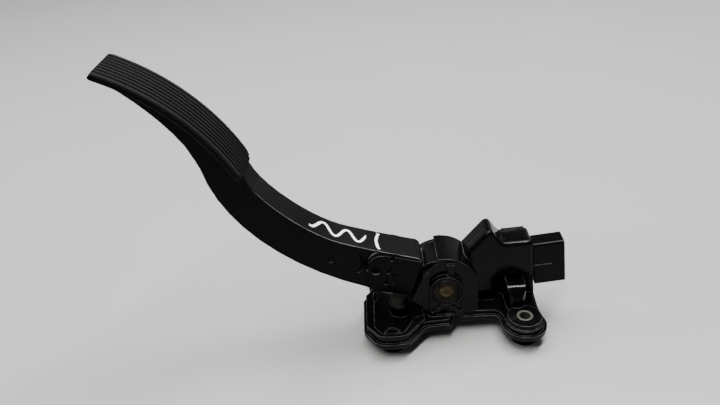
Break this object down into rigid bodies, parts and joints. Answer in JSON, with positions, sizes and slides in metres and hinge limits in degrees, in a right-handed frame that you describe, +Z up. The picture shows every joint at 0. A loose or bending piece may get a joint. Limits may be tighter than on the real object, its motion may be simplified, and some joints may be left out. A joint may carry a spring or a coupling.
{
  "type": "accelerator pedal",
  "caption": "Floor pedal lever with a ribbed pad on a moulded bracket, with return springs, a contactless position sensor and a plug socket.",
  "frame": {"origin": "midway between the two front bolt holes, on the plane of the three feet", "axes": "+X from the pad towards the plug socket, +Y away from the side with the open bearing, +Z up from the mounting plane"},
  "size_m": [0.2535, 0.0696, 0.1828],
  "materials": {
    "housing_plastic": "moulded, satin gloss",
    "cover_plastic": "moulded",
    "socket_plastic": "moulded, satin",
    "screw_steel": "zinc plated",
    "board": "solder mask",
    "chip": "moulded",
    "yoke_steel": "turned",
    "magnet": "sintered",
    "shaft_metal": "turned, tarnished",
    "bush_metal": "sintered",
    "friction_plastic": "moulded",
    "washer_steel": "stamped",
    "hub_plastic": "moulded",
    "arm_plastic": "moulded, grained top",
    "terminal_metal": "tinned",
    "spring_steel": "drawn wire",
    "bumper_rubber": "moulded",
    "sleeve_metal": "dull plated"
  },
  "bodies": {
    "bracket": {"housing": "housing_plastic", "side_cover": "cover_plastic", "cover_screws": "screw_steel", "plug_socket": "socket_plastic", "terminal_1": "terminal_metal", "terminal_2": "terminal_metal", "terminal_3": "terminal_metal", "terminal_4": "terminal_metal", "terminal_5": "terminal_metal", "terminal_6": "terminal_metal", "circuit_board": "board", "hall_sensor_1": "chip", "hall_sensor_2": "chip", "near_bush": "bush_metal", "far_bush": "bush_metal", "friction_washer": "friction_plastic", "thrust_washer": "washer_steel", "outer_spring": "spring_steel", "inner_spring": "spring_steel", "spring_seat": "hub_plastic", "stop_bumper": "bumper_rubber", "idle_stop": "bumper_rubber", "front_sleeve_near": "sleeve_metal", "front_sleeve_far": "sleeve_metal", "rear_sleeve": "sleeve_metal"},
    "lever": {"lever_hub": "hub_plastic", "pedal_arm": "arm_plastic", "lock_pin": "hub_plastic", "pivot_shaft": "shaft_metal", "magnet_yoke": "yoke_steel", "magnet_1": "magnet", "magnet_2": "magnet"}
  },
  "joints": [
    {"name": "lever_pivot", "type": "hinge", "parent": "bracket", "child": "lever", "pos_m": [0.034, 0, 0.0325], "axis": [0, -1, 0], "range_deg": [0, 16], "stiffness_Nm_per_rad": 8, "springref_deg": -11.46, "deforming": ["outer_spring", "inner_spring"]}
  ]
}
